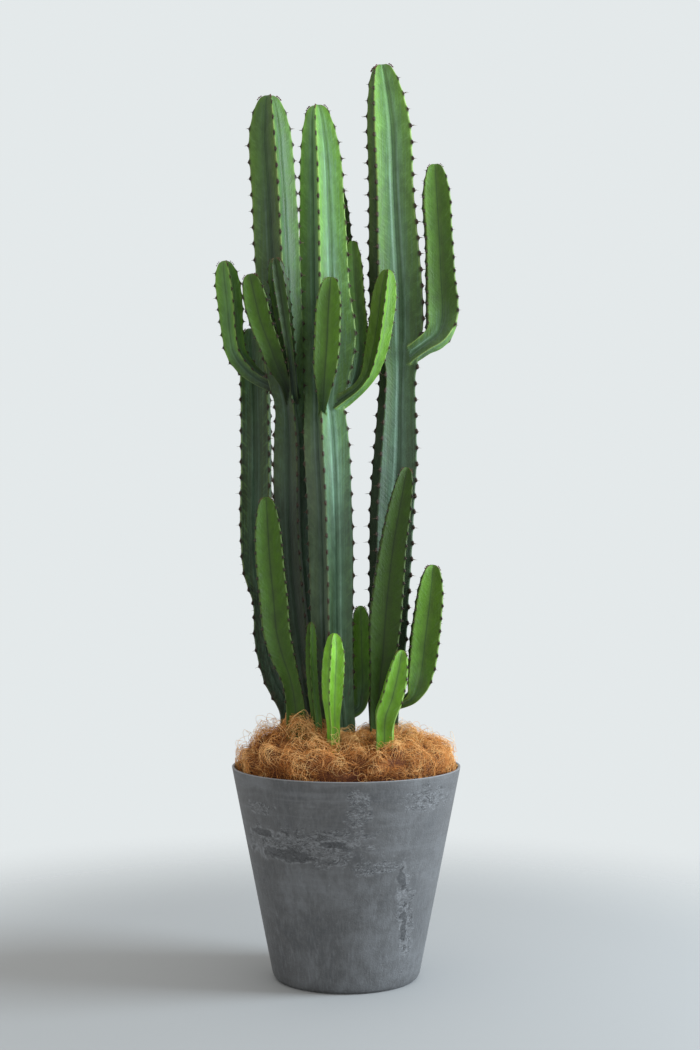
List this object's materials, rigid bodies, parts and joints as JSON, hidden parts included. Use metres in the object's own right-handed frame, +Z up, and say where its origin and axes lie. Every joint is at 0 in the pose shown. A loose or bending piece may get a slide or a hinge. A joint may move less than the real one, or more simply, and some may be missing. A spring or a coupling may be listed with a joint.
{
  "type": "potted euphorbia",
  "caption": "Tall ribbed candelabra euphorbia with spiny branched columns and young shoots, in coir mulch and soil in a tapered grey planter.",
  "frame": {"origin": "centre of the pot's flat underside, on the ground", "axes": "+Z up along the pot's axis, -Y towards the viewer of the picture, +X to its right"},
  "size_m": [0.4045, 0.37, 1.484],
  "materials": {
    "pot_grey": "matt grey resin composite, marbled like worn concrete, with fine cracks and pale veins",
    "soil": "dark crumbly potting soil",
    "coir": "loose curly orange-brown coconut fibre",
    "old_skin": "grey-green waxy skin, paler along the folds, with brown ridges and dark teeth",
    "young_skin": "fresh yellow-green waxy skin with feathered paler streaks and reddish teeth"
  },
  "bodies": {
    "root": {"pot": "pot_grey", "potting_soil": "soil", "coir_mulch": "coir", "stem_left_short": "old_skin", "stem_left_tall": "old_skin", "stem_middle_tall": "old_skin", "stem_right_tall": "old_skin", "shoot_left": "young_skin", "shoot_front": "young_skin", "shoot_slim": "young_skin", "shoot_right_tall": "young_skin", "shoot_right_small": "young_skin"}
  },
  "joints": []
}
